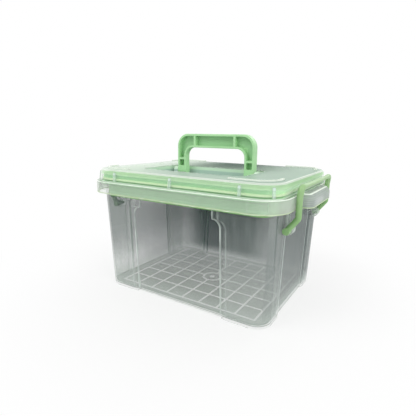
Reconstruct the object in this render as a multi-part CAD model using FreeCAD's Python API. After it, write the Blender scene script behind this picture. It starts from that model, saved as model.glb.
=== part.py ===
import FreeCAD, Part
import os
from math import atan2, degrees, radians, cos, sin
from FreeCAD import Vector

os.makedirs("parts", exist_ok=True)

# Driving dimensions in mm: +Z up, the long side along X, the front facing -Y, the feet standing on z = 0.
# Lid: outline of the skirt, then heights and walls
LENGTH, WIDTH, CORNER = 280.0, 222.0, 34.0
SKIRT_DEPTH, DOME_RISE = 16.2, 15.9
LID_WALL, LEDGE_THICK, LID_ROOF = 2.0, 1.8, 2.0
LEDGE_X, LEDGE_Y, DOME_RADIUS, DOME_DRAFT = 4.2, 6.5, 26.0, 1.5
DOME_EDGE, LEDGE_EDGE = 4.0, 1.6
DOME_RIB, DOME_RIB_OUT, DOME_RIB_INSET, DOME_RIB_TURN = 3.0, 0.7, 43.8, 45.0
STACK_GAP, STACK_RIB, STACK_RISE, STACK_LEG_X, STACK_LEG_Y = 0.6, 2.4, 1.8, 50.0, 28.0
LOBE_REACH, LOBE_HALF, LOBE_RADIUS, LOBE_EDGE = 14.0, 46.0, 10.0, 8.5

# Tub: height of its rim, slope of its walls per mm of height, and the sunk panels, feet and floor ribs
BODY_HEIGHT, BODY_WALL, FLOOR_THICK, FOOT_HEIGHT = 151.4, 2.0, 2.0, 2.0
BODY_RADIUS, DRAFT_X, DRAFT_Y, DRAFT_RADIUS = 20.0, 0.0344, 0.0486, 0.0224
RIM_GAP, RIM_REACH, RIM_THICK, RIM_LIP, RIM_LIP_DROP = 0.7, 8.25, 2.0, 1.8, 8.4
PANEL_DEPTH, PANEL_SLOPE, PANEL_STOP = 2.0, 8.0, 12.0
PILLAR_X, PILLAR_Y, NECK_DROP = 38.0, 27.6, 38.4
FRONT_NECK_IN, END_NECK_IN = 10.5, 3.0
FOOT_RIDGE, FOOT_EDGE = 7.0, 2.0
GRID_PITCH, GRID_RIB, GRID_DEPTH, GRID_MARGIN, GRID_RADIUS = 26.5, 2.0, 1.2, 10.0, 10.0
GATE_RING, GATE_DOT = 14.5, 3.0

# Tray: hangs by its flange between the tub's rim and the lid's ledge
TRAY_FLANGE, TRAY_WALL, TRAY_FLANGE_GAP = 1.4, 1.6, 2.0
TRAY_DROP, TRAY_RISE, TRAY_GAP, TRAY_DOME_GAP, TRAY_RADIUS = 18.7, 11.4, 0.7, 1.6, 24.0
BEAD_UP, BEAD_HEIGHT, BEAD_OUT = 3.1, 2.4, 1.6

# Handle: lies flush in its recess when folded
HANDLE_HALF, HANDLE_RISE, HANDLE_CORNER, HANDLE_Y = 62.8, 48.0, 18.0, 2.0
HANDLE_LEG, HANDLE_GRIP, GRIP_CORNER = 14.7, 19.5, 12.0
HANDLE_DEEP, HANDLE_RIM, HANDLE_WEB, HANDLE_ROUND, HANDLE_SUNK = 10.0, 3.0, 2.6, 0.9, 0.5
HANDLE_RIB_AT, HANDLE_RIB, FOOT_LEDGE_UP, FOOT_POCKET_UP = 32.5, 3.2, 12.0, 1.5
HANDLE_PIN, PIN_REACH, PIN_CLEARANCE = 5.0, 6.4, 0.05
EAR_GAP, EAR_WIDE, EAR_HALF = 0.5, 6.5, 5.0
RECESS_SIDE, RECESS_FINGERS, RECESS_BEHIND, RECESS_UNDER = 14.0, 17.0, 5.0, 0.8
RECESS_RADIUS, RECESS_SHELL = 12.0, 2.0

# Latches: bent rods that turn on pins in bosses on the end walls and close over the lid's end tongues
LATCH_ROD, LATCH_BEND, LATCH_EYE, LATCH_EYE_WIDE = 6.8, 4.5, 8.2, 7.2
LATCH_PIN, LATCH_PIN_LONG = 5.0, 8.0
LATCH_DROP, LATCH_WALL_GAP, LATCH_SKIRT_GAP, LATCH_SIDE_GAP, LATCH_TONGUE_GAP = 24.5, 0.5, 1.0, 0.3, 14.1
ELBOW_DROP, SHOULDER_DROP, BAR_RISE, BAR_OUT, BAR_HIGH, BAR_TAPER = 8.7, 0.8, 9.5, 1.4, 4.8, 12.0
BOSS_WIDE, BOSS_SIZE, BOSS_WEB, BOSS_WEB_OUT = 10.0, 11.0, 2.0, 1.8

# Heights and places that follow from them
RIM_SIZE = (LENGTH - 2 * (LID_WALL + RIM_GAP), WIDTH - 2 * (LID_WALL + RIM_GAP), CORNER - LID_WALL - RIM_GAP)
BODY_TOP = (RIM_SIZE[0] - 2 * RIM_REACH, RIM_SIZE[1] - 2 * RIM_REACH, BODY_RADIUS + DRAFT_RADIUS * BODY_HEIGHT)
BASE_HALF_X = BODY_TOP[0] / 2 - DRAFT_X * BODY_HEIGHT
BASE_HALF_Y = BODY_TOP[1] / 2 - DRAFT_Y * BODY_HEIGHT
FRONT_PANEL, END_PANEL = BASE_HALF_X - BODY_RADIUS - PILLAR_X, BASE_HALF_Y - BODY_RADIUS - PILLAR_Y
FLANGE_TOP = BODY_HEIGHT + TRAY_FLANGE
LEDGE_TOP = FLANGE_TOP + LEDGE_THICK
SKIRT_BOTTOM, LID_TOP = LEDGE_TOP - SKIRT_DEPTH, LEDGE_TOP + DOME_RISE
DOME_LENGTH, DOME_WIDTH = LENGTH - 2 * LEDGE_X, WIDTH - 2 * LEDGE_Y
TRAY_BOTTOM, TRAY_RIM = BODY_HEIGHT - TRAY_DROP, FLANGE_TOP + TRAY_RISE
HANDLE_TOP, HANDLE_PIVOT = LID_TOP + HANDLE_RISE, LID_TOP - HANDLE_SUNK - HANDLE_DEEP / 2
GRIP_HALF, GRIP_UNDER = HANDLE_HALF - HANDLE_LEG, HANDLE_TOP - HANDLE_GRIP
HANDLE_FRONT, HANDLE_BACK = HANDLE_Y - HANDLE_DEEP / 2, HANDLE_Y + HANDLE_DEEP / 2
RECESS_X, RECESS_BACK = HANDLE_HALF + RECESS_SIDE, HANDLE_BACK + RECESS_BEHIND
RECESS_FRONT = HANDLE_Y - (HANDLE_TOP - HANDLE_PIVOT) - RECESS_FINGERS
RECESS_FLOOR = HANDLE_PIVOT - HANDLE_DEEP / 2 - RECESS_UNDER
EAR_IN = HANDLE_HALF + EAR_GAP
LATCH_Z, LATCH_Y = SKIRT_BOTTOM - LATCH_DROP, LOBE_HALF + LATCH_TONGUE_GAP + LATCH_ROD / 2
LATCH_X = BODY_TOP[0] / 2 - DRAFT_X * (BODY_HEIGHT - LATCH_Z) + LATCH_WALL_GAP + LATCH_EYE / 2
LATCH_UP = LENGTH / 2 + LATCH_SKIRT_GAP + LATCH_ROD / 2
BOSS_FACE = LATCH_Y - LATCH_EYE_WIDE / 2 - LATCH_SIDE_GAP
FAR = 4 * LENGTH


def box(x0, x1, y0, y1, z0, z1):
    return Part.makeBox(x1 - x0, y1 - y0, z1 - z0, Vector(x0, y0, z0))


def rod(start, end, diameter):
    axis = end - start
    return Part.makeCylinder(diameter / 2, axis.Length, start, axis)


def corner_spot(cx, cy, radius, turn, z):
    return Vector(cx + radius * cos(radians(turn)), cy + radius * sin(radians(turn)), z)


def loop(length, width, radius, z, x=0.0, y=0.0):
    """A rectangle with round corners, as a closed wire at height z."""
    a, b, edges = length / 2 - radius, width / 2 - radius, []
    quarters = [(a, b, 0), (-a, b, 90), (-a, -b, 180), (a, -b, 270)]
    for i, (cx, cy, turn) in enumerate(quarters):
        spots = [corner_spot(cx + x, cy + y, radius, turn + step, z) for step in (0, 45, 90)]
        edges.append(Part.Arc(*spots).toShape())
        nx, ny, nturn = quarters[(i + 1) % 4]
        edges.append(Part.makeLine(spots[2], corner_spot(nx + x, ny + y, radius, nturn, z)))
    return Part.Wire(edges)


def between(low, high):
    """The solid with straight sides between two loops."""
    return Part.makeLoft([low, high], True, True)


def block(size, z0, z1, inset=0.0):
    """An upright block on a rounded rectangle, moved in by inset."""
    length, width, radius = size[0] - 2 * inset, size[1] - 2 * inset, size[2] - inset
    return between(loop(length, width, radius, z0), loop(length, width, radius, z1))


def fuse(shapes):
    return shapes[0].multiFuse(shapes[1:]).removeSplitter()


def both_ways(shape, normal):
    return [shape, shape.mirror(Vector(0, 0, 0), normal)]


def body_loop(z, inset):
    """The tub's outline at height z, moved in by inset."""
    down = BODY_HEIGHT - z
    return loop(BODY_TOP[0] - 2 * (DRAFT_X * down + inset), BODY_TOP[1] - 2 * (DRAFT_Y * down + inset),
                BODY_TOP[2] - DRAFT_RADIUS * down - inset, z)


def panel_outline(half, neck_in, grow, out):
    """A wall panel's outline, wide below and narrower above a round shoulder, set out from the wall by out."""
    side, neck, start = half + grow, half + grow - neck_in, BODY_HEIGHT - NECK_DROP
    low, high = -BODY_RADIUS, BODY_HEIGHT - PANEL_STOP + grow
    right = [(side, low), (side, start), (neck, start + neck_in), (neck, high)]
    spots = [Vector(u, v, out) for u, v in right] + [Vector(-u, v, out) for u, v in reversed(right)]
    edges = [Part.makeLine(a, b) for a, b in zip(spots, spots[1:] + spots[:1])]
    bend = Vector(neck + neck_in * cos(radians(45)), start + neck_in * sin(radians(45)), out)
    edges[1] = Part.Arc(spots[1], bend, spots[2]).toShape()
    edges[5] = Part.Arc(spots[5], Vector(-bend.x, bend.y, out), spots[6]).toShape()
    return Part.Wire(edges)


def panel(half, neck_in, reach, lean, turn, inset):
    """The sunk panel of one wall: reach is the wall's distance at z = 0 and lean its slope."""
    proud = PANEL_DEPTH / 2
    deep = panel_outline(half, neck_in, 0.0, -PANEL_DEPTH - inset)
    wide = panel_outline(half, neck_in, PANEL_SLOPE * (PANEL_DEPTH + proud) / PANEL_DEPTH, proud - inset)
    tool = between(deep, wide)
    tool.rotate(Vector(0, 0, 0), Vector(1, 0, 0), 90 + degrees(atan2(lean, 1)))
    tool.translate(Vector(0, -reach, 0))
    tool.rotate(Vector(0, 0, 0), Vector(0, 0, 1), turn)
    return tool


def panels(inset):
    sides = []
    for turn in (0, 180):
        sides.append(panel(FRONT_PANEL, FRONT_NECK_IN, BASE_HALF_Y, DRAFT_Y, turn, inset))
        sides.append(panel(END_PANEL, END_NECK_IN, BASE_HALF_X, DRAFT_X, turn + 90, inset))
    return sides


def latch_boss():
    """The pivot boss of one latch arm on the end wall, with its thin web up to the rim."""
    half, inner = BOSS_SIZE / 2, BOSS_FACE - BOSS_WIDE
    barrel = rod(Vector(LATCH_X, -BOSS_FACE, LATCH_Z), Vector(LATCH_X, -inner, LATCH_Z), BOSS_SIZE)
    near, out, top = LATCH_X - half, LATCH_X + BOSS_WEB_OUT, BODY_HEIGHT - RIM_THICK
    web = box(near, out, -BOSS_FACE, BOSS_WEB - BOSS_FACE, LATCH_Z, top)
    pad = box(near, LATCH_X, -BOSS_FACE, -inner, LATCH_Z - half, LATCH_Z + half)
    return fuse([barrel, web, pad])


def make_body():
    """The clear tub: drafted walls, sunk panels, turned-down rim, latch bosses, feet and ribbed floor."""
    floor_top = FOOT_HEIGHT + FLOOR_THICK
    outer = between(body_loop(0.0, 0.0), body_loop(BODY_HEIGHT, 0.0)).cut(panels(0.0))
    inner = between(body_loop(floor_top, BODY_WALL), body_loop(BODY_HEIGHT + 1, BODY_WALL))
    inner = inner.cut(panels(BODY_WALL))
    lip_bottom = BODY_HEIGHT - RIM_LIP_DROP
    lip_room = block(RIM_SIZE, lip_bottom - 1, BODY_HEIGHT - RIM_THICK, RIM_LIP)
    rim = block(RIM_SIZE, lip_bottom, BODY_HEIGHT).cut(lip_room)
    bosses, holes = [], []
    for boss in both_ways(latch_boss(), Vector(0, 1, 0)):
        bosses += both_ways(boss, Vector(1, 0, 0))
    for x in (LATCH_X, -LATCH_X):
        for side in (1, -1):
            mouth, end = side * (BOSS_FACE + 1), side * (BOSS_FACE - LATCH_PIN_LONG - 1)
            axis = Vector(x, mouth, LATCH_Z), Vector(x, end, LATCH_Z)
            holes.append(rod(*axis, LATCH_PIN + 2 * PIN_CLEARANCE))
    foot_x, foot_y = FRONT_PANEL + FOOT_EDGE, END_PANEL + FOOT_EDGE
    lift = [box(-foot_x, foot_x, -FAR, FAR, -1, FOOT_HEIGHT), box(-FAR, FAR, -foot_y, foot_y, -1, FOOT_HEIGHT),
            between(body_loop(-1.0, FOOT_RIDGE), body_loop(FOOT_HEIGHT, FOOT_RIDGE))]
    shell = fuse([outer, rim] + bosses).cut([inner] + holes + lift)
    return fuse([shell] + floor_ribs())


def floor_ribs():
    """The square grid of ribs under the floor, its border, and the ring and dot where the mould was filled."""
    low, half, ribs = FOOT_HEIGHT - GRID_DEPTH, GRID_RIB / 2, []
    columns = int((BASE_HALF_X - GRID_MARGIN) / GRID_PITCH)
    rows = int((BASE_HALF_Y - GRID_MARGIN) / GRID_PITCH)
    wide, deep = columns * GRID_PITCH, rows * GRID_PITCH
    for step in range(1 - columns, columns):
        ribs.append(box(step * GRID_PITCH - half, step * GRID_PITCH + half, -deep, deep, low, FOOT_HEIGHT))
    for step in range(1 - rows, rows):
        ribs.append(box(-wide, wide, step * GRID_PITCH - half, step * GRID_PITCH + half, low, FOOT_HEIGHT))
    border = (2 * wide + GRID_RIB, 2 * deep + GRID_RIB, GRID_RADIUS)
    ribs.append(block(border, low, FOOT_HEIGHT).cut(block(border, low - 1, FOOT_HEIGHT, GRID_RIB)))
    base = Vector(0, 0, low)
    disc = Part.makeCylinder(GATE_RING, GRID_DEPTH, base)
    ribs.append(disc.cut(Part.makeCylinder(GATE_RING - GRID_RIB, GRID_DEPTH, base)))
    ribs.append(Part.makeCylinder(GATE_DOT, GRID_DEPTH, base))
    return ribs


def dome_size(inset, z):
    """The size of the lid's raised middle at height z, moved in by inset."""
    move = inset + DOME_DRAFT * (z - LEDGE_TOP) / DOME_RISE
    return DOME_LENGTH - 2 * move, DOME_WIDTH - 2 * move, DOME_RADIUS - inset


def dome(inset, z0, z1):
    return between(*[loop(*dome_size(inset, z), z) for z in (z0, z1)])


def flat_edges(shape, z):
    """The edges that lie wholly at height z."""
    return [e for e in shape.Edges if abs(e.BoundBox.ZMin - z) < 0.01 and abs(e.BoundBox.ZMax - z) < 0.01]


def lobe(inset, z0, z1):
    """The catch tongue on the lid's right end, moved in by inset."""
    root = LENGTH / 2 - CORNER
    length, width = CORNER + LOBE_REACH - inset, 2 * (LOBE_HALF - inset)
    return between(*[loop(length, width, LOBE_RADIUS - inset, z, root + length / 2) for z in (z0, z1)])


def make_lid():
    """The clear lid: skirt, ledge, raised middle with the handle's recess, end tongues and stacking ribs."""
    outline, under = (LENGTH, WIDTH, CORNER), LEDGE_TOP - LEDGE_THICK
    skirt = block(outline, SKIRT_BOTTOM, LEDGE_TOP)
    skirt = skirt.makeFillet(LEDGE_EDGE, flat_edges(skirt, LEDGE_TOP))
    tongue = lobe(0.0, SKIRT_BOTTOM, LEDGE_TOP)
    tongue = tongue.makeFillet(LOBE_EDGE, flat_edges(tongue, LEDGE_TOP))
    roof = dome(0.0, under, LID_TOP)
    roof = roof.makeFillet(DOME_EDGE, flat_edges(roof, LID_TOP))
    solid = [skirt, roof] + both_ways(tongue, Vector(1, 0, 0)) + dome_ribs()
    tongue_room = lobe(LID_WALL, SKIRT_BOTTOM - 1, LEDGE_TOP - LOBE_EDGE)
    tongue_room = tongue_room.cut(block(outline, SKIRT_BOTTOM - 2, LEDGE_TOP))
    rooms = [block(outline, SKIRT_BOTTOM - 1, under, LID_WALL), dome(LID_WALL, under - 1, LID_TOP - LID_ROOF)]
    shell = fuse(solid).cut(rooms + both_ways(tongue_room, Vector(1, 0, 0)))
    middle = LID_TOP - LID_ROOF / 2
    tub = recess(-RECESS_SHELL, RECESS_FLOOR - RECESS_SHELL, middle)
    shell = fuse([shell, tub]).cut(recess(0.0, RECESS_FLOOR, LID_TOP + 1))
    return fuse([shell, stacking_ribs(middle)] + both_ways(ear_block(), Vector(1, 0, 0)))


def dome_ribs():
    """The shallow upright ribs on the raised middle: along its front and back, and one on each corner."""
    low, high, ribs = LEDGE_TOP - LEDGE_THICK / 2, LID_TOP - DOME_EDGE, []
    sheath, spread = dome(-DOME_RIB_OUT, low, high), DOME_LENGTH / 2 - DOME_RIB_INSET
    for x in (-spread, 0.0, spread):
        ribs.append(box(x - DOME_RIB / 2, x + DOME_RIB / 2, -FAR, FAR, low, high).common(sheath))
    corner = box(0, FAR, -DOME_RIB / 2, DOME_RIB / 2, low, high)
    corner.rotate(Vector(0, 0, 0), Vector(0, 0, 1), DOME_RIB_TURN)
    corner.translate(Vector(DOME_LENGTH / 2 - DOME_RADIUS, DOME_WIDTH / 2 - DOME_RADIUS, 0))
    for side in both_ways(corner.common(sheath), Vector(1, 0, 0)):
        ribs += both_ways(side, Vector(0, 1, 0))
    return ribs


def recess(inset, z0, z1):
    length, width = 2 * (RECESS_X - inset), RECESS_BACK - RECESS_FRONT - 2 * inset
    middle = (RECESS_BACK + RECESS_FRONT) / 2
    return between(*[loop(length, width, RECESS_RADIUS - inset, z, 0.0, middle) for z in (z0, z1)])


def stacking_ribs(low):
    """The four low corner ribs that stand around the feet of a second box on the lid."""
    out, high = STACK_GAP + STACK_RIB, LID_TOP + STACK_RISE
    size = (2 * (BASE_HALF_X + out), 2 * (BASE_HALF_Y + out), BODY_RADIUS + out)
    end_x, end_y = BASE_HALF_X - STACK_LEG_X, BASE_HALF_Y - STACK_LEG_Y
    gaps = [box(-end_x, end_x, -FAR, FAR, 0, FAR), box(-FAR, FAR, -end_y, end_y, 0, FAR)]
    return block(size, low, high).cut([block(size, low - 1, high + 1, STACK_RIB)] + gaps)


def ear_block():
    """One pivot ear beside the handle's right foot, bored for its pin."""
    far, low = EAR_IN + EAR_WIDE, RECESS_FLOOR - RECESS_SHELL / 2
    post = box(EAR_IN, far, HANDLE_Y - EAR_HALF, HANDLE_Y + EAR_HALF, low, HANDLE_PIVOT)
    cap = rod(Vector(EAR_IN, HANDLE_Y, HANDLE_PIVOT), Vector(far, HANDLE_Y, HANDLE_PIVOT), 2 * EAR_HALF)
    across = Vector(EAR_IN - 1, HANDLE_Y, HANDLE_PIVOT), Vector(far + 1, HANDLE_Y, HANDLE_PIVOT)
    bore = rod(*across, HANDLE_PIN + 2 * PIN_CLEARANCE)
    return fuse([post, cap]).cut(bore)


def make_tray():
    """The green lift-out tray that hangs on the tub's rim under the lid."""
    gap = BODY_WALL + PANEL_DEPTH + TRAY_GAP
    flange_size = (LENGTH - 2 * (LID_WALL + TRAY_FLANGE_GAP), WIDTH - 2 * (LID_WALL + TRAY_FLANGE_GAP),
                   CORNER - LID_WALL - TRAY_FLANGE_GAP)
    upper = dome_size(LID_WALL + TRAY_DOME_GAP, TRAY_RIM)[:2] + (TRAY_RADIUS,)
    flange = block(flange_size, BODY_HEIGHT, FLANGE_TOP)
    low = between(body_loop(TRAY_BOTTOM, gap), body_loop(BODY_HEIGHT, gap))
    high = block(upper, FLANGE_TOP, TRAY_RIM)
    bead = block(upper, FLANGE_TOP + BEAD_UP, FLANGE_TOP + BEAD_UP + BEAD_HEIGHT, -BEAD_OUT)
    inside = gap + TRAY_WALL
    low_room = between(body_loop(TRAY_BOTTOM + TRAY_WALL, inside), body_loop(FLANGE_TOP, inside))
    high_room = block(upper, FLANGE_TOP, TRAY_RIM + 1, TRAY_WALL)
    return fuse([flange, low, high, bead]).cut([low_room, high_room])


def arch(half, top, corner, low, y0, y1):
    """A plate with two round upper corners, from low to top."""
    inner, bend = half - corner, corner * cos(radians(45))
    side = top - corner
    outline = [(-half, low), (-half, side), (-inner, top), (inner, top), (half, side), (half, low)]
    spots = [Vector(x, y0, z) for x, z in outline]
    left, right = Vector(-inner - bend, y0, side + bend), Vector(inner + bend, y0, side + bend)
    edges = [Part.makeLine(spots[0], spots[1]), Part.Arc(spots[1], left, spots[2]).toShape(),
             Part.makeLine(spots[2], spots[3]), Part.Arc(spots[3], right, spots[4]).toShape(),
             Part.makeLine(spots[4], spots[5]), Part.makeLine(spots[5], spots[0])]
    return Part.Face(Part.Wire(edges)).extrude(Vector(0, y1 - y0, 0))


def make_handle():
    """The carry handle: a bow with a channel open to the front, ribs across it, round feet and pins."""
    front, back = HANDLE_FRONT, HANDLE_BACK
    bow = arch(HANDLE_HALF, HANDLE_TOP, HANDLE_CORNER, HANDLE_PIVOT, front, back)
    bow = bow.cut(arch(GRIP_HALF, GRIP_UNDER, GRIP_CORNER, HANDLE_PIVOT - 1, front - 1, back + 1))
    faces = [f for f in bow.Faces if abs(f.BoundBox.YMin - f.BoundBox.YMax) < 0.01]
    rims = [e for f in faces for e in f.Edges if e.BoundBox.ZMax > HANDLE_PIVOT + 1]
    bow = bow.makeFillet(HANDLE_ROUND, rims)
    pocket = LID_TOP + FOOT_POCKET_UP
    outer = arch(HANDLE_HALF - HANDLE_RIM, HANDLE_TOP - HANDLE_RIM, HANDLE_CORNER - HANDLE_RIM, pocket,
                 front - 1, back - HANDLE_WEB)
    inner = arch(GRIP_HALF + HANDLE_RIM, GRIP_UNDER + HANDLE_RIM, GRIP_CORNER + HANDLE_RIM, pocket - 1,
                 front - 2, back)
    half, ledge = HANDLE_RIB / 2, LID_TOP + FOOT_LEDGE_UP
    stays = [box(-FAR, FAR, -FAR, FAR, ledge - half, ledge + half)]
    for x in (-HANDLE_RIB_AT, HANDLE_RIB_AT):
        stays.append(box(x - half, x + half, -FAR, FAR, GRIP_UNDER, HANDLE_TOP))
    parts = [bow.cut(outer.cut([inner] + stays))]
    for side in (-1, 1):
        near = Vector(side * GRIP_HALF, HANDLE_Y, HANDLE_PIVOT)
        far = Vector(side * HANDLE_HALF, HANDLE_Y, HANDLE_PIVOT)
        parts.append(rod(near, far, HANDLE_DEEP))
        parts.append(rod(near, far + Vector(side * PIN_REACH, 0, 0), HANDLE_PIN))
    return fuse(parts)


def bent_path(spots, bend):
    """A line through points, with the corners between them bent to a radius."""
    edges, start = [], spots[0]
    for before, corner, after in zip(spots, spots[1:], spots[2:]):
        u, v = (corner - before).normalize(), (after - corner).normalize()
        turn = u.getAngle(v)
        cut = bend * sin(turn / 2) / cos(turn / 2)
        p, q = corner - u * cut, corner + v * cut
        hub = p + (v - u * cos(turn)).normalize() * bend
        edges.append(Part.makeLine(start, p))
        edges.append(Part.Arc(p, hub + (corner - hub).normalize() * bend, q).toShape())
        start = q
    edges.append(Part.makeLine(start, spots[-1]))
    return Part.Wire(edges)


def oval(x, y, z, height):
    """A section of the latch's bar at y: as deep as the rod and as tall as height."""
    middle = Vector(x, y, z)
    curve = Part.Ellipse(middle + Vector(LATCH_ROD / 2, 0, 0), middle + Vector(0, 0, height / 2), middle)
    return Part.Wire(curve.toShape())


def make_latch():
    """The right latch: two bent arms, each with an eye and a pin at its foot, and a flatter bar across the top."""
    bar_x, bar_z, start = LATCH_UP + BAR_OUT, LEDGE_TOP + BAR_RISE, LATCH_BEND + 1 - LATCH_Y
    elbow, shoulder = (LATCH_UP, SKIRT_BOTTOM - ELBOW_DROP), (LATCH_UP, LEDGE_TOP - SHOULDER_DROP)
    arm = [(LATCH_X, LATCH_Z), elbow, shoulder, (bar_x, bar_z)]
    spots = [Vector(x, -LATCH_Y, z) for x, z in arm] + [Vector(bar_x, start, bar_z)]
    ring = Part.Wire(Part.makeCircle(LATCH_ROD / 2, spots[0], spots[1] - spots[0]))
    reach, flat = LATCH_EYE_WIDE / 2, start + BAR_TAPER
    stops = (-LATCH_Y - reach, reach - LATCH_Y, LATCH_PIN_LONG - BOSS_FACE)
    outer, inner, tip = [Vector(LATCH_X, y, LATCH_Z) for y in stops]
    pieces = [between(oval(bar_x, flat, bar_z, BAR_HIGH), oval(bar_x, -flat, bar_z, BAR_HIGH))]
    for piece in (bent_path(spots, LATCH_BEND).makePipeShell([ring], True, False),
                  between(oval(bar_x, start, bar_z, LATCH_ROD), oval(bar_x, flat, bar_z, BAR_HIGH)),
                  rod(outer, inner, LATCH_EYE), rod(inner, tip, LATCH_PIN)):
        pieces += both_ways(piece, Vector(0, 1, 0))
    return fuse(pieces)


latch = make_latch()
nodes = {
    "body": make_body(),
    "lid": make_lid(),
    "tray": make_tray(),
    "carry_handle": make_handle(),
    "latch_right": latch,
    "latch_left": latch.mirror(Vector(0, 0, 0), Vector(1, 0, 0)),
}
for name, shape in nodes.items():
    state = "valid" if shape.isValid() else "BROKEN"
    print(name, state, len(shape.Solids), "solid", round(shape.Volume / 1000, 2), "cm3")
    shape.exportStep("parts/" + name + ".step")
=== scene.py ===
# %% [markdown]
# # A clear storage box with a green tray, handle and latches
# The box is a see-through tub with a see-through lid. A green tray hangs under the lid, a green handle folds
# down into the lid, and a green bail closes over each end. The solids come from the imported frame, in metres,
# so every cell below only dresses them: it gives them finishes, or adds the fine things that a mould leaves.

# %% Load the frame and keep its size
import math
import bmesh
import bpy
from mathutils import Matrix, Vector


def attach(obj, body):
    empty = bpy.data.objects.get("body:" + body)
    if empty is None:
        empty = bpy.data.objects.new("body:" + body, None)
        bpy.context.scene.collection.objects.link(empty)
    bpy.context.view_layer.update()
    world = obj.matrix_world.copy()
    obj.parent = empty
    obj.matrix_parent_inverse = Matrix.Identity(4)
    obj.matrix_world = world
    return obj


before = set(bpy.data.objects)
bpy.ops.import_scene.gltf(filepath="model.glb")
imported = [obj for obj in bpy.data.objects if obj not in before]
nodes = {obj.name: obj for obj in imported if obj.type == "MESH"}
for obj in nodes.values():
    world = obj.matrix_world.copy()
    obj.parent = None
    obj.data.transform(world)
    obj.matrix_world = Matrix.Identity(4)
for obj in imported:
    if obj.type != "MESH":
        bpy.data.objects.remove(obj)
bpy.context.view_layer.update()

MM = 0.001
scene = bpy.context.scene

# %% [markdown]
# ## The camera
# The picture was taken from close by and a little above the lid, turned about a third of a right angle to the
# right of the front. A camera can be placed by hand and nudged until it fits, but here the viewpoint was
# worked out from the box's straight edges, so its place, its turns and its lens are written as numbers.

# %% Place the camera
EYE = Vector((243.20, -410.22, 216.40)) * MM
YAW, PITCH, ROLL = 0.5524, 0.2157, 0.0143
FOCAL_PIXELS, PICTURE_PIXELS, SENSOR, NEAREST = 330.99, 416.0, 36.0, 0.01

forward = Vector((-math.sin(YAW) * math.cos(PITCH), math.cos(YAW) * math.cos(PITCH), -math.sin(PITCH)))
level = Vector((math.cos(YAW), math.sin(YAW), 0.0))
above = level.cross(forward)
right = math.cos(ROLL) * level + math.sin(ROLL) * above
up = math.cos(ROLL) * above - math.sin(ROLL) * level

lens = bpy.data.cameras.new("viewpoint")
lens.sensor_width, lens.lens = SENSOR, FOCAL_PIXELS / PICTURE_PIXELS * SENSOR
lens.clip_start = NEAREST
camera = bpy.data.objects.new("viewpoint", lens)
camera.matrix_world = Matrix.Translation(EYE) @ Matrix((right, up, -forward)).transposed().to_4x4()
scene.collection.objects.link(camera)
scene.camera = camera
print("lens", round(lens.lens, 2), "mm")

# %% [markdown]
# ## Wires: shader sums written as sums
# A finish is a small drawing made of numbers: how far up the wall, how near to a rib, how cloudy. Blender
# keeps such a drawing as nodes joined by links. Adding each node by hand is long, so a Wire stands for one
# link, and adding, multiplying or taking one wire from another adds the Math node for it.

# %% Define the wires
class Wire:
    """A value on its way through a material. Sums and products of wires add Math nodes."""

    def __init__(self, socket):
        self.socket, self.tree = socket, socket.id_data

    def math(self, operation, *values):
        return node(self.tree, "ShaderNodeMath", {"operation": operation}, dict(enumerate(values)))

    def __add__(self, other):
        return self.math("ADD", self, other)

    def __sub__(self, other):
        return self.math("SUBTRACT", self, other)

    def __rsub__(self, other):
        return self.math("SUBTRACT", other, self)

    def __mul__(self, other):
        return self.math("MULTIPLY", self, other)

    def __truediv__(self, other):
        return self.math("DIVIDE", self, other)

    def __pow__(self, other):
        return self.math("POWER", self, other)

    def __abs__(self):
        return self.math("ABSOLUTE", self)

    __radd__, __rmul__ = __add__, __mul__


def node(tree, kind, settings=None, sockets=None, out=0):
    """Adds a node: its settings first, then a value or a wire for each of its sockets."""
    made = tree.nodes.new(kind)
    for name, value in (settings or {}).items():
        setattr(made, name, value)
    for name, value in (sockets or {}).items():
        if isinstance(value, Wire):
            tree.links.new(value.socket, made.inputs[name])
        else:
            made.inputs[name].default_value = value
    return Wire(made.outputs[out]) if made.outputs else made

# %% [markdown]
# ## Finishes: places, bands and noise
# On the real box a tint or a haze sits at a place: along a rib, below the lid, at one end. A picture could be
# painted for each piece, but it would blur close by. A Finish works from the place on the object instead, in
# millimetres, so its lines stay as sharp as they are written.

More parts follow.
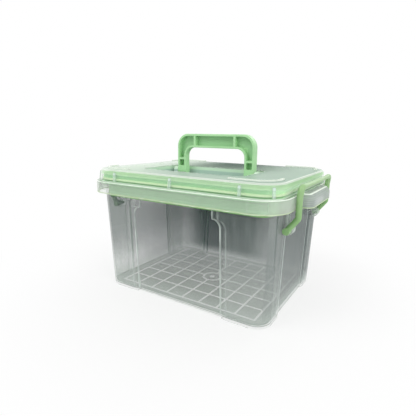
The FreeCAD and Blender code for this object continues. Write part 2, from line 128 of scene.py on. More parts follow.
# %% Define a finish
class Finish:
    """A new material, with the place on the object split into x, y and z in millimetres."""

    def __init__(self, name):
        self.material = bpy.data.materials.new(name)
        self.material.use_nodes = True
        self.tree = self.material.node_tree
        self.tree.nodes.clear()
        place = self.node("ShaderNodeTexCoord", out="Object")
        self.place = self.node("ShaderNodeVectorMath", {"operation": "SCALE"}, {0: place, "Scale": 1 / MM})
        axes = [self.node("ShaderNodeSeparateXYZ", None, {0: self.place}, axis) for axis in "XYZ"]
        self.x, self.y, self.z = axes

    def node(self, kind, settings=None, sockets=None, out=0):
        return node(self.tree, kind, settings, sockets, out)

    def step(self, value, low, high):
        """0 below low, 1 above high and a smooth rise between them."""
        ends = {"Value": value, "From Min": low, "From Max": high}
        return self.node("ShaderNodeMapRange", {"interpolation_type": "SMOOTHSTEP"}, ends)

    def past(self, value, edge, soft):
        """0 up to an edge and 1 from soft beyond it."""
        return self.step(value, edge, edge + soft)

    def band(self, value, centre, half, soft):
        """1 within half of centre, falling to 0 over soft."""
        return 1 - self.past(abs(value - centre), half, soft)

    def share(self, value):
        """The value held between 0 and 1."""
        return self.node("ShaderNodeMapRange", None, {"Value": value})

    def most(self, *values):
        """The largest of several wires."""
        top = values[0]
        for value in values[1:]:
            top = top.math("MAXIMUM", top, value)
        return top

    def grain(self, size, stretch=(1.0, 1.0, 1.0), detail=3.0):
        """Even noise from 0 to 1 with lumps of this size, drawn out along some axis by stretch."""
        pull = {"Vector": self.place, "Scale": tuple(1 / (size * s) for s in stretch)}
        spot = self.node("ShaderNodeMapping", None, pull)
        return self.node("ShaderNodeTexNoise", None, {"Vector": spot, "Scale": 1.0, "Detail": detail})

    def mix(self, share, first, second):
        """A colour between two, by share."""
        return self.node("ShaderNodeMix", {"data_type": "RGBA"}, {0: share, 6: first, 7: second}, 2)

    def facing(self):
        """0 where the surface looks at the eye and 1 where it is seen edge on."""
        return self.node("ShaderNodeLayerWeight", None, {"Blend": 0.5}, "Facing")

    def bump(self, height, depth):
        """A normal from a height in parts of depth, which is in millimetres."""
        return self.node("ShaderNodeBump", None, {"Height": height, "Strength": 1.0, "Distance": depth * MM})

    def plastic(self, colour, rough, normal, fixed):
        """The moulded plastic: its colour, gloss and relief, and the sockets that stay the same."""
        return self.node("ShaderNodeBsdfPrincipled", None,
                         {"Base Color": colour, "Roughness": rough, "Normal": normal, **fixed})

    def done(self, shader):
        self.node("ShaderNodeOutputMaterial", None, {"Surface": shader})
        return self.material


def srgb(red, green, blue):
    """A colour given as it looks on a screen, from 0 to 255, as the shader wants it."""
    parts = [c / 255 for c in (red, green, blue)]
    return tuple(c / 12.92 if c < 0.04045 else ((c + 0.055) / 1.055) ** 2.4 for c in parts) + (1.0,)

# %% [markdown]
# ## The stage
# A shop picture of a box stands on white. The floor and the sky show the eye plain white, also in reflections
# and through clear plastic, while the light that falls on the box stays at a plain level, so a colour looks
# as it was written. The floor keeps a soft shadow, which tells the eye that the box stands on something.

# %% Build the sky and the floor
SKY_LIGHT, FLOOR_SHADE = 0.72, 0.26
SHADE_NEAR, SHADE_FAR = 0.15, 0.38
FLOOR_HALF, FLOOR_DROP = 3.0, 0.2 * MM
WHITE, MATT = (1.0, 1.0, 1.0, 1.0), (0.85, 0.85, 0.85, 1.0)
PICTURE_RAYS = ("Is Camera Ray", "Is Glossy Ray", "Is Transmission Ray")


def seen(tree):
    """1 for rays that carry the picture: from the eye, from a reflection, or through clear plastic."""
    ways = [node(tree, "ShaderNodeLightPath", None, None, ray) for ray in PICTURE_RAYS]
    total = ways[0] + ways[1] + ways[2]
    return total.math("MINIMUM", total, 1.0)


sky = bpy.data.worlds.new("studio")
sky.use_nodes = True
sky.node_tree.nodes.clear()
glow = seen(sky.node_tree) * (1 - SKY_LIGHT) + SKY_LIGHT
light = node(sky.node_tree, "ShaderNodeBackground", None, {"Color": WHITE, "Strength": glow})
node(sky.node_tree, "ShaderNodeOutputWorld", None, {"Surface": light})
scene.world = sky

pale = Finish("pale_floor")
away = (pale.x * pale.x + pale.y * pale.y) ** 0.5
shade = (1 - pale.step(away, SHADE_NEAR / MM, SHADE_FAR / MM)) * FLOOR_SHADE
matt = pale.node("ShaderNodeBsdfDiffuse", None, {"Color": MATT})
white = pale.node("ShaderNodeEmission", None, {"Color": WHITE, "Strength": 1.0})
shown = pale.node("ShaderNodeMixShader", None, {0: seen(pale.tree) * (1 - shade), 1: matt, 2: white})
floor_finish = pale.done(shown)

corners = [(-FLOOR_HALF, -FLOOR_HALF), (FLOOR_HALF, -FLOOR_HALF)]
corners = corners + [(-x, -y) for x, y in corners]
sheet = bpy.data.meshes.new("floor")
sheet.from_pydata([(x, y, -FLOOR_DROP) for x, y in corners], [], [(0, 1, 2, 3)])
sheet.materials.append(floor_finish)
floor = bpy.data.objects.new("floor", sheet)
scene.collection.objects.link(floor)
print("floor", 2 * FLOOR_HALF, "m wide")

# %% [markdown]
# ## The lamps
# Small lamps leave hard spots on clear walls. Three wide, weak ones stand round the box instead: one at the
# front left, one at the right, and one behind that lights the back edges.

# %% Hang the lamps
def soft_lamp(name, place, aim, size, power):
    """A square lamp that looks from one point towards another."""
    lamp = bpy.data.lights.new(name, "AREA")
    lamp.size, lamp.energy = size, power
    holder = bpy.data.objects.new(name, lamp)
    holder.location = place
    holder.rotation_euler = (Vector(aim) - Vector(place)).to_track_quat("-Z", "Y").to_euler()
    scene.collection.objects.link(holder)


MIDDLE = (0.0, 0.0, 0.1)
soft_lamp("key", (-0.7, -1.1, 1.5), MIDDLE, 0.9, 12.0)
soft_lamp("fill", (1.5, -0.6, 0.9), MIDDLE, 0.8, 8.5)
soft_lamp("back", (0.3, 1.5, 1.2), MIDDLE, 1.0, 7.0)

# %% [markdown]
# ## Green plastic
# The handle, the latches and the tray are moulded from one pale green polypropylene. It is not one flat
# colour: the melt leaves faint clouds, the mould leaves a fine orange-peel skin, and handling dulls it in
# patches. Layers of noise at several sizes give these, and painted highlights and painted shade mark the
# edges and grooves of each moulding.

# %% Define the green plastic
CLOUD_SIZE, FLECK_SIZE, SCUFF_SIZE, PEEL_SIZE = 26.0, 1.1, 7.0, 0.9
CLOUD_PART, PEEL_PART, SCUFF_DULL, IOR = 0.7, 0.7, 0.12, 1.49


def green_plastic(made, light_green, deep_green, shine, peel, tints_and_painted_light=()):
    """A pale green polypropylene, clouded between two greens, with a skin and painted light over places."""
    cloud = made.grain(CLOUD_SIZE)
    fleck = made.grain(FLECK_SIZE, detail=2.0)
    scuff = made.grain(SCUFF_SIZE, (1.0, 1.0, 2.5), 5.0)
    tint = made.step(cloud * CLOUD_PART + fleck * (1 - CLOUD_PART), 0.3, 0.7)
    colour = made.mix(tint, deep_green, light_green)
    for place, tinted in tints_and_painted_light:
        colour = made.mix(place, colour, tinted)
    rough = made.step(scuff, 0.35, 0.75) * SCUFF_DULL + shine
    skin = made.grain(PEEL_SIZE, detail=2.0) * PEEL_PART + scuff * (1 - PEEL_PART)
    fixed = {"IOR": IOR, "Specular IOR Level": 0.4}
    return made.done(made.plastic(colour, rough, made.bump(skin, peel), fixed))

# %% [markdown]
# ## The tray
# The tray hangs under the lid, so little light reaches it but on its edges, its bead and its ends. So these
# get painted highlights, and a band just under the bead gets painted shade. A colour ramp over the height
# could paint them, but stripes between named heights line up with the solid more easily.

# %% Tint the tray
TRAY_BOTTOM, BEAD_LOW, BEAD_HIGH, TRAY_RIM, TRAY_END = 132.7, 155.9, 158.3, 164.2, 118.0
FOOT_HIGHLIGHT, BEAD_SHADE, RIM_HIGHLIGHT, STRIPE_SOFT, END_SOFT = 3.0, 1.8, 0.8, 0.3, 6.0
tray = Finish("tray_green")


def painted_light_band(low, high, tint):
    """A band of painted light all round the tray between two heights, lighter or darker by its tint."""
    return tray.band(tray.z, (low + high) / 2, (high - low) / 2, STRIPE_SOFT), tint


# Painted highlights on the ends, the foot, the bead and the rim, and painted shade just under the bead.
tray_painted_light = [(tray.past(abs(tray.x), TRAY_END, END_SOFT), srgb(196, 246, 190)),
              painted_light_band(TRAY_BOTTOM, TRAY_BOTTOM + FOOT_HIGHLIGHT, srgb(168, 232, 136)),
              painted_light_band(BEAD_LOW - BEAD_SHADE, BEAD_LOW, srgb(118, 180, 108)),
              painted_light_band(BEAD_LOW, BEAD_HIGH, srgb(220, 246, 196)),
              painted_light_band(TRAY_RIM - RIM_HIGHLIGHT, TRAY_RIM, srgb(200, 238, 194))]
tray_green = green_plastic(tray, srgb(162, 220, 160), srgb(148, 208, 148), 0.38, 0.02, tray_painted_light)
print("tray finish", len(tray_painted_light), "tints_and_painted_light")

# %% [markdown]
# ## The handle and the latches
# The handle has a sunk channel between its outer rim and the rim of its grip; its floor gets painted shade,
# a little darker. The latches are a deeper green than the rest, with a painted highlight that makes them
# slightly paler towards the bar that closes over the lid.

# %% Tint the handle and the latches
HANDLE_HALF, HANDLE_TOP, GRIP_HALF, GRIP_UNDER, WEB_FACE = 62.8, 218.5, 48.1, 199.0, 4.4
SKIN, SKIN_SOFT, WEB_HALF = 1.5, 0.5, 0.3
handle = Finish("handle_green")
outside = handle.most(handle.past(abs(handle.x), HANDLE_HALF - SKIN, SKIN_SOFT),
                      handle.past(handle.z, HANDLE_TOP - SKIN, SKIN_SOFT))
opening = handle.band(handle.x, 0.0, GRIP_HALF + SKIN, SKIN_SOFT)
opening = opening * (1 - handle.past(handle.z, GRIP_UNDER + SKIN, SKIN_SOFT))
# Painted shade: the floor of the sunk channel is tinted darker.
channel_shade = handle.band(handle.y, WEB_FACE, WEB_HALF, WEB_HALF) * (1 - handle.most(outside, opening))
handle_green = green_plastic(handle, srgb(178, 224, 169), srgb(164, 212, 157), 0.3, 0.015,
                             [(channel_shade, srgb(154, 202, 150))])

LATCH_FOOT, LATCH_BAR = 126.0, 160.0
latch = Finish("latch_green")
# Painted highlight: the latch turns paler from its foot up to the bar on top.
latch_green = green_plastic(latch, srgb(140, 182, 122), srgb(126, 168, 108), 0.36, 0.01,
                            [(latch.step(latch.z, LATCH_FOOT, LATCH_BAR), srgb(148, 184, 130))])
print("green finishes", handle_green.name, latch_green.name, tray_green.name)

# %% [markdown]
# ## Clear plastic
# The tub and the lid are clear, but not like window glass: thin moulded walls look a little smoky, cloudy
# where the plastic is thick, and bright where they are seen edge on. Real refraction needs many light paths
# and stays grainy, so each wall is a film instead: mostly a Transparent shader, with a share of plastic mixed
# in. The share is the haze, and it grows towards the edge-on view as a reflection does.

# %% Define the clear film
LEAST_SHARE, EDGE_POWER, FILM_RIM, WALL_RIM = 0.03, 5.0, 0.9, 0.7
COAT, COAT_ROUGH, DULL_MORE, GLINT_RISE = 0.5, 0.06, 0.1, (0.35, 0.7)


def clear_film(made, haze, colour, rough, normal, fixed, rim=FILM_RIM):
    """Lets the view through, but for a share of plastic that is haze face on and grows by rim edge on."""
    plastic = made.plastic(colour, rough, normal, {"IOR": IOR, **fixed})
    gloss = made.facing() ** EDGE_POWER * rim + LEAST_SHARE
    share = haze + (1 - haze) * gloss
    empty = made.node("ShaderNodeBsdfTransparent", None, {"Color": WHITE})
    return made.done(made.node("ShaderNodeMixShader", None, {0: share, 1: empty, 2: plastic}))


def coated(weight):
    """A wall whose only gloss is a thin coat of this weight."""
    return {"Specular IOR Level": 0.0, "Coat Roughness": COAT_ROUGH, "Coat Weight": weight}


def worn(made, size, least):
    """A roughness that is least at best and duller in patches of a size."""
    return made.step(made.grain(size), 0.4, 0.8) * DULL_MORE + least

# %% [markdown]
# ## The tub's ribs and panels
# Each wall has a sunk panel between two proud corner pillars, and the floor has a grid of ribs on its
# underside. In clear plastic these show as lines: a painted highlight where a wall steps in, a pale one over
# each rib. The shape is already in the solid, so the finish only has to know where the steps are. It works
# this out from the same few sizes as the solid.

# %% Measure the tub's ribs and panels
GRID_PITCH, GRID_HALF, GRID_COLUMNS, GRID_ROWS = 26.5, 1.3, 4, 3
RING_RADIUS, RING_HALF, DOT_RADIUS, NECK_START = 13.5, 1.69, 4.0, 113.0
RIB_SOFT, GRID_SOFT, ZONE_SOFT = 0.4, 0.5, 1.0


def floor_lines(made):
    """1 on the ribs under the floor: the square grid, its ring and the dot in the middle."""
    wide, deep_shade = GRID_COLUMNS * GRID_PITCH + GRID_HALF, GRID_ROWS * GRID_PITCH + GRID_HALF

    def ribs(value, reach):
        cell = value / GRID_PITCH
        near = abs(cell - cell.math("ROUND", cell)) * GRID_PITCH
        return made.band(near, 0.0, GRID_HALF, RIB_SOFT) * made.band(value, 0.0, reach, RIB_SOFT)

    inside = made.band(made.x, 0.0, wide, GRID_SOFT) * made.band(made.y, 0.0, deep_shade, GRID_SOFT)
    grid = made.most(ribs(made.x, wide), ribs(made.y, deep_shade)) * inside
    away = (made.x * made.x + made.y * made.y) ** 0.5
    ring = made.band(away, RING_RADIUS, RING_HALF, RIB_SOFT)
    grid = grid * made.past(away, RING_RADIUS, ZONE_SOFT)
    return made.most(grid, ring, made.band(away, 0.0, DOT_RADIUS, GRID_SOFT))


def past_panel(made, along, half, neck_in):
    """How far a point lies beyond the edge of a wall's panel, measured along the wall."""
    rise = made.share((made.z - NECK_START) / neck_in)
    bow = (1 - rise * rise) ** 0.5
    return abs(along) - (bow * neck_in + (half - neck_in))

# %% [markdown]
# ## The tub's places
# The floor, the walls, the ends and the folds are told apart by height and by distance from the middle. The
# walls lean outwards, so a point is on a wall when it lies beyond a line that leans the same way. Faces could
# be given materials one by one instead, but then every border would be hard, and a mask can fade.

# %% Mark the places on the tub
FLOOR_UNDER, FLOOR_TOP, UNDER_SOFT, TOP_SOFT = 3.2, 4.2, 0.3, 0.6
FOOT_X, FOOT_Y, LEAN_X, LEAN_Y, WALL_ZONE, BOSS_OUT = 123.84, 92.69, 0.0344, 0.0486, 7.0, 0.6
FRONT_PANEL, END_PANEL, FRONT_NECK, END_NECK, PANEL_SLOPE = 65.84, 45.09, 10.5, 3.0, 8.0
INNER_FOLD, OUTER_FOLD, OUTER_SHARE = (0.4, 0.6), (0.3, 0.6), 0.4

tub = Finish("clear_tub")
low = 1 - tub.past(tub.z, FLOOR_TOP, TOP_SOFT)
clear_under = tub.past(tub.z, FLOOR_UNDER, UNDER_SOFT)
on_floor = low * clear_under
on_long = tub.past(abs(tub.y) - tub.z * LEAN_Y, FOOT_Y - WALL_ZONE, ZONE_SOFT)
on_end = tub.past(abs(tub.x) - tub.z * LEAN_X, FOOT_X - WALL_ZONE, ZONE_SOFT)
boss = tub.past(abs(tub.x) - tub.z * LEAN_X, FOOT_X + BOSS_OUT, BOSS_OUT)
lines = floor_lines(tub) * on_floor
walls = ((past_panel(tub, tub.x, FRONT_PANEL, FRONT_NECK), on_long),
         (past_panel(tub, tub.y, END_PANEL, END_NECK), on_end))
inner = tub.most(*[tub.band(beyond, 0.0, *INNER_FOLD) * wall for beyond, wall in walls])
outer = tub.most(*[tub.band(beyond, PANEL_SLOPE, *OUTER_FOLD) * wall for beyond, wall in walls])
pillar = tub.most(*[tub.step(beyond, 0.0, PANEL_SLOPE) * wall for beyond, wall in walls])
fold_highlight = tub.most(inner, outer * OUTER_SHARE) * (1 - low)
print("tub places", len(tub.tree.nodes), "nodes")

# %% [markdown]
# ## The tub's smoke
# A light smoke fills the walls, and painted shade lies in it: the shade grows with height towards the tray
# that hangs above, is deepest in the middle of the back wall, and fades out under the lid. Over it lie the
# bright things: folds with painted highlights that glint, a streaky veil on the pillars and the ends, and a
# mist just above the floor. A volume shader could give a smoke, but it is slow and grainy, so here the
# smoke and the shade are a dark share of each face.

# %% Mix the tub's finish
# Where the smoke and the painted shade grow or fade, from one millimetre mark to another
LID_FADE, FOOT_RISE, BACK_FADE = (129.0, 138.0), (2.0, 24.0), (92.0, 136.0)
SIDE_RISE, UPPER_RISE, FLOOR_MIST = (22.0, 80.0), (50.0, 115.0), (6.0, 26.0)
TO_THE_BACK, RIGHT_END, CELL_FADE = (-70.0, 85.0), (100.0, 110.0), (-80.0, 60.0)

# The middle, half width and soft edge of the deepest painted shade
DEEPEST_SHADE = (-28.0, 40.0, 50.0)

# How much smoke, painted shade, veil and mist there is, as a share of each face
SMOKE_ALL, SHADE_SIDES, SHADE_UPPER = 0.04, 0.16, 0.03
SHADE_BACK, SHADE_DEEP, SHADE_RIGHT = 0.22, 0.36, 0.1
VEIL_PILLAR, VEIL_END, VEIL_CLOUD, VEIL_BOSS, MIST = 0.14, 0.1, 0.03, 0.16, 0.12
FOLD_LEAST, FOLD_GLINT, CELL_FRONT, CELL_LESS, RIB_CLEAR = 0.34, 0.4, 0.46, 0.22, 0.9
LEAST_SUM, EDGE_HIGHLIGHT_POWER, STREAK_PART = 0.01, 10.0, 0.6

streak = tub.grain(5.0, (1.0, 1.0, 14.0), 4.0)
cloud = tub.grain(45.0)
glint = tub.step(tub.grain(13.0, (1.0, 1.0, 2.0), 2.0), *GLINT_RISE)
below_lid = 1 - tub.step(tub.z, *LID_FADE)
rise = tub.step(tub.z, *FOOT_RISE) * (1 - tub.step(tub.z, *BACK_FADE))
# Painted shade that grows with height towards the tray above.
shade_rising = tub.step(tub.z, *SIDE_RISE) * below_lid
upper_shade = tub.step(tub.z, *UPPER_RISE) * below_lid
back = tub.step(tub.y, *TO_THE_BACK)
deep_shade = tub.band(tub.x, *DEEPEST_SHADE) * (1 - on_end)
right_end = tub.step(tub.x, *RIGHT_END) * on_end
# Painted shade: deepest in the middle of the back wall, and some at the right end.
painted_wall_shade = back * (deep_shade * SHADE_DEEP + SHADE_BACK) + right_end * SHADE_RIGHT
smoke_and_shade = upper_shade * SHADE_UPPER + shade_rising * SHADE_SIDES + rise * painted_wall_shade + below_lid * SMOKE_ALL
smoke_and_shade = smoke_and_shade * (1 - boss)
veil = pillar * streak * VEIL_PILLAR + on_end * streak * VEIL_END + cloud * VEIL_CLOUD + boss * VEIL_BOSS
mist = (1 - tub.step(tub.z, *FLOOR_MIST)) * MIST
# Painted highlights: glinting folds, laid over the veil and the mist.
bright = fold_highlight * below_lid * (glint * FOLD_GLINT + FOLD_LEAST) + veil * below_lid + mist
milk = tub.mix(cloud, srgb(206, 218, 212), srgb(232, 240, 234))
# The dark colour is the smoke with its painted shade; the milk colour is the cloudy plastic.
tub_colour = tub.mix(bright / (bright + smoke_and_shade + LEAST_SUM), srgb(3, 46, 48), milk)
# Painted highlight: the colour turns pale where a wall is seen edge on.
tub_colour = tub.mix(tub.facing() ** EDGE_HIGHLIGHT_POWER, tub_colour, srgb(236, 244, 240))
tub_colour = tub.mix(on_floor, tub_colour, srgb(138, 152, 142))
# The floor's haze thins towards the back: painted light where less light reaches the floor.
cells = on_floor * (CELL_FRONT - tub.step(tub.y, *CELL_FADE) * CELL_LESS) * (1 - lines * RIB_CLEAR)
tub_haze = tub.share(smoke_and_shade + bright + cells) * clear_under
tub_skin = tub.bump(streak * STREAK_PART + tub.grain(16.0) * (1 - STREAK_PART), 0.12)
tub_rough = worn(tub, 9.0, 0.08)
clear_tub = clear_film(tub, tub_haze, tub_colour, tub_rough, tub_skin, coated(COAT), WALL_RIM)
print("tub finish", len(tub.tree.nodes), "nodes")

# %% [markdown]
# ## The lid's places
# The lid's parts lie at different heights: a skirt, a ledge, raised sides and a flat roof, with the handle's
# recess sunk in it and a tongue at each end. Bands of height and of distance mark each of them.

# %% Mark the places on the lid
SKIRT_BOTTOM, LEDGE_TOP, LID_TOP, TONGUE_ROOT, LID_END = 138.4, 154.6, 170.5, 140.6, 134.5
RECESS_X, RECESS_FRONT, RECESS_BACK, RECESS_SHELL, WELL_FOOT = 76.8, -68.5, 12.0, 2.2, 1.5
SKIRT_RIBS, SKIRT_RIB, TONGUE_RIB = (38.5, 105.0), (0.6, 0.6), 2.3
DOME_RIBS, DOME_RIB, DOME_RIB_TURNED = (0.0, 92.0), 1.5, 2.1
DOME_HUB_X, DOME_HUB_Y, DOME_EDGE, EDGE_SOFT = 109.8, 78.5, 4.0, 0.8
LEDGE_EDGE, ROOF_EDGE, ROOF_LINE, COLLAR_DROP, SHELL_SOFT, RIB_EDGE = 0.9, 1.2, 0.2, 4.5, 0.4, 0.5

# Where the ends and the collar begin, from one millimetre mark to another
END_RISE, COLLAR_RISE = (104.0, 138.0), (-132.0, -112.0)

# The half height and the soft edge of each line round the lid
HEM, LEDGE, SHELF, BRIM, COLLAR = (0.7, 0.5), (0.4, 0.3), (0.3, 0.3), (0.5, 0.8), (2.0, 1.5)

lid = Finish("clear_lid")
skirt = 1 - lid.past(lid.z, LEDGE_TOP - LEDGE_EDGE, TOP_SOFT)
roof = lid.past(lid.z, LID_TOP - ROOF_EDGE, EDGE_SOFT)
proud = lid.past(lid.z, LID_TOP + ROOF_LINE, SHELL_SOFT)
recess_middle, recess_half = (RECESS_BACK + RECESS_FRONT) / 2, (RECESS_BACK - RECESS_FRONT) / 2
around = lid.band(lid.x, 0.0, RECESS_X + RECESS_SHELL, SHELL_SOFT)
around = around * lid.band(lid.y, recess_middle, recess_half + RECESS_SHELL, SHELL_SOFT)
well = around * lid.past(lid.z, LEDGE_TOP + WELL_FOOT, RIB_EDGE) * (1 - roof)
tongue = lid.past(abs(lid.x), TONGUE_ROOT, EDGE_SOFT)
# Painted highlight: a pale line along the skirt's lower edge.
hem_highlight = lid.band(lid.z, SKIRT_BOTTOM, *HEM)
# Painted highlight: a white line along the ledge's outer edge.
ledge = lid.band(lid.z, LEDGE_TOP - LEDGE_EDGE, *LEDGE)
shelf = lid.band(lid.z, LEDGE_TOP, *SHELF)
# Painted highlight: a white line round the roof's edge.
brim_highlight = lid.band(lid.z, LID_TOP - ROOF_EDGE, *BRIM) * (1 - around)
# Painted highlight: a paler band round the dome's top fillet.
collar = lid.band(lid.z, LID_TOP - COLLAR_DROP, *COLLAR) * (1 - around) * lid.step(lid.x, *COLLAR_RISE)
side_top = LID_TOP - DOME_EDGE
side = lid.band(lid.z, (LEDGE_TOP + side_top) / 2, (side_top - LEDGE_TOP) / 2 - RIB_EDGE, RIB_EDGE)
turned = lid.band((abs(lid.x) - DOME_HUB_X) - (abs(lid.y) - DOME_HUB_Y), 0.0, DOME_RIB_TURNED, RIB_EDGE)
turned = turned * lid.past(abs(lid.x), DOME_HUB_X, ZONE_SOFT)
# Painted highlights on the dome's ribs.
stay_highlights = lid.most(turned, *[lid.band(abs(lid.x), place, DOME_RIB, SHELL_SOFT) for place in DOME_RIBS])
stay_highlights = stay_highlights * side * (1 - around)
ribs = lid.most(*[lid.band(abs(lid.x), place, *SKIRT_RIB) for place in SKIRT_RIBS]) * skirt
end = lid.step(abs(lid.x), *END_RISE) * skirt
wave = lid.z * (2 * math.pi / TONGUE_RIB)
ribbing = lid.step(wave.math("SINE", wave), 0.2, 0.9)
print("lid places", len(lid.tree.nodes), "nodes")

# %% [markdown]
# ## The lid's haze
# The lid's flat roof is seen almost edge on, so it works more like a pale mirror than a window, while its
# sides stay clear and show the tray. The end tongues are ribbed inside and look cloudy. So each place adds
# its own share of haze: a little on the skirt, more on the roof and the tongues. The roof's colour is a
# painted reflection, pale at the left and darker towards the middle of its back edge, and the lid's edges,
# ribs, collar and recess get painted highlights.

# %% Mix the lid's finish
# Where the painted reflection on the roof grows darker and the painted light in the recess paler,
# from one millimetre mark to another
BACK_RISE, SIDE_FADE = (-60.0, 80.0), (10.0, 118.0)
SHEEN_RISE, WALL_RISE = (-120.0, 40.0), (LID_TOP - 6.0, LID_TOP - 4.5)

# How much haze there is everywhere, and what the roof and its back take from the gloss
LID_CLOUD, LID_STREAK, LID_LEAST, TONGUE_HAZE = 0.05, 0.03, 0.03, 0.12
FAR_SHARE, ROOF_LESS, SHELF_LESS = 0.15, 0.3, 0.5

streak = lid.grain(4.0, (1.0, 1.0, 10.0), 4.0)
cloud = lid.grain(30.0)
# Painted reflection: the roof is pale at the left and darker towards the middle of its back edge.
far = lid.step(lid.y, *BACK_RISE) * (1 - lid.step(abs(lid.x), *SIDE_FADE))
roof_reflection = lid.mix(lid.step(lid.x, *SHEEN_RISE), srgb(222, 234, 222), srgb(170, 191, 178))
roof_reflection = lid.mix(far, roof_reflection, srgb(16, 58, 50))
# Painted light: the recess walls are pale, paler towards their top edge.
wall = lid.mix(lid.step(lid.z, *WALL_RISE), srgb(184, 208, 196), srgb(214, 238, 214))
lid_colour = lid.mix(skirt, srgb(226, 236, 228), srgb(214, 224, 212))
# The roof's painted reflection, painted highlights on the collar, recess, ribs, hem and edges, and the
# tongues' cloudy tint.
tints_and_painted_light = ((roof, roof_reflection), (collar, srgb(200, 234, 192)), (well, wall), (tongue, srgb(178, 188, 183)),
         (stay_highlights, srgb(214, 230, 226)), (hem_highlight, srgb(208, 226, 186)),
         (lid.most(ledge, proud, brim_highlight), srgb(244, 250, 242)))
for place, tint in tints_and_painted_light:
    lid_colour = lid.mix(place, lid_colour, tint)
lid_haze = cloud * LID_CLOUD + streak * LID_STREAK + LID_LEAST + tongue * (ribbing + 1) * TONGUE_HAZE
hazes = ((skirt, 0.12), (roof, 0.34), (well, 0.8), (end, 0.18), (hem_highlight, 0.3), (ledge, 0.5), (proud, 0.5),
         (brim_highlight, 0.25), (collar, 0.4), (stay_highlights, 0.3), (ribs, 0.08), (roof * far, FAR_SHARE))
for place, share in hazes:
    lid_haze = lid_haze + place * share
lid_skin = lid.bump(streak * 0.5 + lid.grain(14.0) * 0.5, 0.04)
lid_coat = coated(COAT - roof * (far * FAR_SHARE + ROOF_LESS))
lid_rim = WALL_RIM - shelf * SHELF_LESS
lid_rough = worn(lid, 8.0, 0.07)
clear_lid = clear_film(lid, lid.share(lid_haze), lid_colour, lid_rough, lid_skin, lid_coat, lid_rim)
print("clear finishes", clear_tub.name, clear_lid.name)

# %% [markdown]
# ## Dressing
# Each solid is one moulding of one plastic, so it carries one finish all over. Its mesh is left as it is.

# %% Dress the solids
DRESS = {"body": clear_tub, "lid": clear_lid, "tray": tray_green, "carry_handle": handle_green,
         "latch_right": latch_green, "latch_left": latch_green}
for name, finish in DRESS.items():
    nodes[name].data.materials.clear()
    nodes[name].data.materials.append(finish)
print("dressed", sorted(DRESS))

# %% [markdown]
# ## Moulded edges
# On a clear moulding the eye mostly sees its edges: light runs inside the wall and comes out where the wall
# turns. A Bevel modifier could round every edge, but on a mesh of loose triangles it tears. A Geometry Nodes
# tree finds the edges that turn sharply, makes each a curve and sweeps a thin round bead along it, whose
# pale finish is a painted highlight.

# %% Define the tree for the beads
BEAD_SIDES = 6


def edge_tree():
    """Geometry Nodes: a round bead along every outward edge of a mesh that turns by more than an angle."""
    tree = bpy.data.node_groups.new("edge_beads", "GeometryNodeTree")
    face = tree.interface
    face.new_socket("Mesh", in_out="INPUT", socket_type="NodeSocketGeometry")
    for name in ("Angle", "Radius"):
        face.new_socket(name, in_out="INPUT", socket_type="NodeSocketFloat")
    face.new_socket("Finish", in_out="INPUT", socket_type="NodeSocketMaterial")
    face.new_socket("Beads", in_out="OUTPUT", socket_type="NodeSocketGeometry")
    given = tree.nodes.new("NodeGroupInput")
    given = {name: Wire(given.outputs[name]) for name in ("Mesh", "Angle", "Radius", "Finish")}
    turn = node(tree, "GeometryNodeInputMeshEdgeAngle", None, None, "Signed Angle")
    sharp = node(tree, "FunctionNodeCompare", {"operation": "GREATER_THAN"}, {0: turn, 1: given["Angle"]})
    line = node(tree, "GeometryNodeMeshToCurve", None, {"Mesh": given["Mesh"], "Selection": sharp})
    round_bead = {"Resolution": BEAD_SIDES, "Radius": given["Radius"]}
    ring = node(tree, "GeometryNodeCurvePrimitiveCircle", None, round_bead)
    swept = {"Curve": line, "Profile Curve": ring, "Fill Caps": True}
    bead = node(tree, "GeometryNodeCurveToMesh", None, swept)
    whole = node(tree, "GeometryNodeRealizeInstances", None, {0: bead})
    tinted = node(tree, "GeometryNodeSetMaterial", None, {"Geometry": whole, "Material": given["Finish"]})
    end = tree.nodes.new("NodeGroupOutput")
    tree.links.new(tinted.socket, end.inputs[0])
    return tree


EDGE_BEADS = edge_tree()
print("bead tree", len(EDGE_BEADS.nodes), "nodes")

# %% [markdown]
# ## Meshes for the beads
# The solids' meshes are loose triangles, and a loose edge has no turn to measure. So a copy is made with its
# corners joined. What never shows is left out of it: the ribs under the floor, the rim inside the lid and the
# lid's smooth ends.

# %% Prepare the meshes
JOINED_WITHIN, RIM_HIDDEN = 2e-6, 1.0


def unseen(name, spot):
    """Whether a point is on the ribs under the floor, the rim inside the lid or the lid's smooth ends."""
    x, y, z = spot / MM
    if name == "lid":
        return abs(x) > LID_END
    under = z < FLOOR_UNDER and abs(x) < FOOT_X - WALL_ZONE and abs(y) < FOOT_Y - WALL_ZONE
    return under or z > SKIRT_BOTTOM - RIM_HIDDEN


def merged_copy(name):
    """A copy of a node's mesh with its loose triangles joined, without the places that don't show."""
    work = bmesh.new()
    work.from_mesh(nodes[name].data)
    bmesh.ops.remove_doubles(work, verts=work.verts, dist=JOINED_WITHIN)
    bmesh.ops.delete(work, geom=[v for v in work.verts if unseen(name, v.co)], context="VERTS")
    mesh = bpy.data.meshes.new(name + "_joined")
    work.to_mesh(mesh)
    work.free()
    return mesh


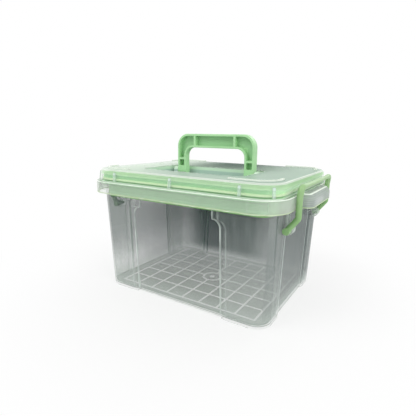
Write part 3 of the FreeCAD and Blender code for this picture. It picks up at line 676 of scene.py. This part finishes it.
def grown(name, mesh, tree, values):
    """Runs a tree on a mesh and returns its result as a plain object."""
    piece = bpy.data.objects.new(name, mesh)
    scene.collection.objects.link(piece)
    modifier = piece.modifiers.new("grow", "NODES")
    modifier.node_group = tree
    for item in tree.interface.items_tree:
        if item.in_out == "INPUT" and item.name in values:
            modifier[item.identifier] = values[item.name]
    seen_now = piece.evaluated_get(bpy.context.evaluated_depsgraph_get())
    result = bpy.data.meshes.new_from_object(seen_now)
    piece.modifiers.remove(modifier)
    piece.data = result
    return piece

# %% [markdown]
# ## The beads
# The beads' pale finish is a painted highlight. A moulded edge is not evenly bright: it catches a lamp here
# and loses it there, so noise along the edge paints glints that make its haze and its whiteness come and go.
# The tub's edges are a little stronger than the lid's.

# %% Grow the beads
BEAD_TURN, BEAD_RADIUS = math.radians(28.0), 0.3 * MM


def bead_finish(name, colour, low, high):
    """A painted highlight: a bright, cloudy film whose brightness comes and goes in glints along the edge."""
    made = Finish(name)
    glint = made.step(made.grain(11.0, (1.0, 1.0, 1.6), 2.0), *GLINT_RISE)
    # Painted glints: the colour turns near white where the noise rises.
    shade = made.mix(glint, colour, srgb(250, 252, 248))
    rough = made.grain(3.0) * 0.2 + 0.15
    skin = made.bump(made.grain(1.5), 0.02)
    return clear_film(made, glint * (high - low) + low, shade, rough, skin, {"Specular IOR Level": 0.5})


tub_edge_highlight = bead_finish("tub_edge_highlight", srgb(214, 224, 218), 0.25, 0.8)
lid_edge_highlight = bead_finish("lid_edge_highlight", srgb(216, 234, 210), 0.15, 0.6)
BEADED = (("body", "tub", tub_edge_highlight, "clear_tub"), ("lid", "cover", lid_edge_highlight, "clear_lid"))
for name, body, finish, slot in BEADED:
    values = {"Angle": BEAD_TURN, "Radius": BEAD_RADIUS, "Finish": finish}
    beads = grown(name + "_edges", merged_copy(name), EDGE_BEADS, values)
    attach(beads, body)
    print(beads.name, len(beads.data.polygons), "faces")

# %% [markdown]
# ## Finish
# The look is set to Standard so that colours come out as written, and rays may pass through as many clear
# walls as stand in a row.

# %% Set the view
CLEAR_WALLS = 48
scene.view_settings.view_transform = "Standard"
scene.cycles.transparent_max_bounces = CLEAR_WALLS
